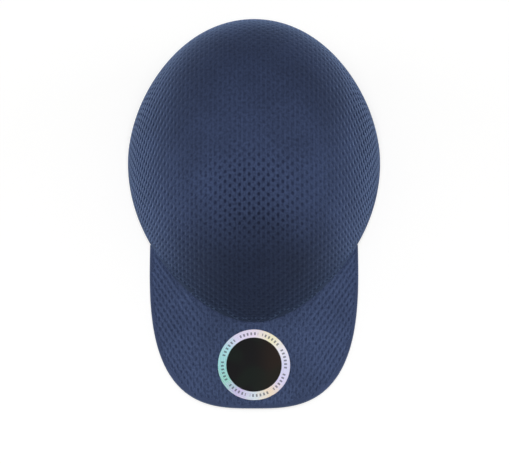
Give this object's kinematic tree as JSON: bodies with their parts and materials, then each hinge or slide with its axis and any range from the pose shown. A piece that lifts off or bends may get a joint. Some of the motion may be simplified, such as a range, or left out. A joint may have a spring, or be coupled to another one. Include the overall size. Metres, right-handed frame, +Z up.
{
  "type": "bump cap",
  "caption": "Mesh baseball-style cap with a stiff peak, a lift-out vented impact shell with foam pads, and a rear strap with a flip-lever buckle.",
  "frame": {"origin": "middle of the cap's footprint, on the surface that its hem stands on", "axes": "+Z up through the crown, -Y the way the peak points, +X the wearer's left"},
  "size_m": [0.1834, 0.2834, 0.122],
  "materials": {
    "mesh_fabric": "moulded navy mesh knit with rows of small open cells",
    "cloth": "plain navy weave",
    "board": "plain flexible sheet",
    "shell_plastic": "moulded, fine texture",
    "foam": "closed-cell foam",
    "hook_tape": "hook tape",
    "buckle_metal": "satin plated",
    "foil": "black film with a pale iridescent ring"
  },
  "bodies": {
    "cover": {"arch_tape": "cloth", "buckle_anchor_tab": "cloth", "buckle_frame": "buckle_metal", "buckle_pin": "buckle_metal", "crown_cover": "mesh_fabric", "front_loop_patch": "cloth", "left_loop_patch": "cloth", "peak_board": "board", "peak_top_cover": "mesh_fabric", "peak_under_cover": "cloth", "rear_loop_patch": "cloth", "right_loop_patch": "cloth", "sticker": "foil", "strap_channel_left": "cloth", "strap_channel_right": "cloth", "sweatband": "cloth"},
    "insert": {"impact_shell": "shell_plastic", "crown_pad": "foam", "front_pad": "foam", "rear_pad": "foam", "left_side_pad": "foam", "right_side_pad": "foam", "front_hook_tab": "hook_tape", "rear_hook_tab": "hook_tape", "left_hook_tab": "hook_tape", "right_hook_tab": "hook_tape"},
    "strap_body": {"strap": "cloth", "strap_tip": "buckle_metal"},
    "lever": {"buckle_lever": "buckle_metal"}
  },
  "joints": [
    {"name": "insert_release", "type": "slide", "parent": "cover", "child": "insert", "axis": [0, 0, -1], "range_m": [0, 0.15]},
    {"name": "strap_adjust", "type": "hinge", "parent": "cover", "child": "strap_body", "pos_m": [0, 0.04975, 0.014], "axis": [0, 0, -1], "range_deg": [0, 20]},
    {"name": "buckle_lever_flip", "type": "hinge", "parent": "cover", "child": "lever", "pos_m": [0.01017, 0.13825, 0.01431], "axis": [-0.0179, -0.1131, 0.9934], "range_deg": [0, 100]}
  ]
}
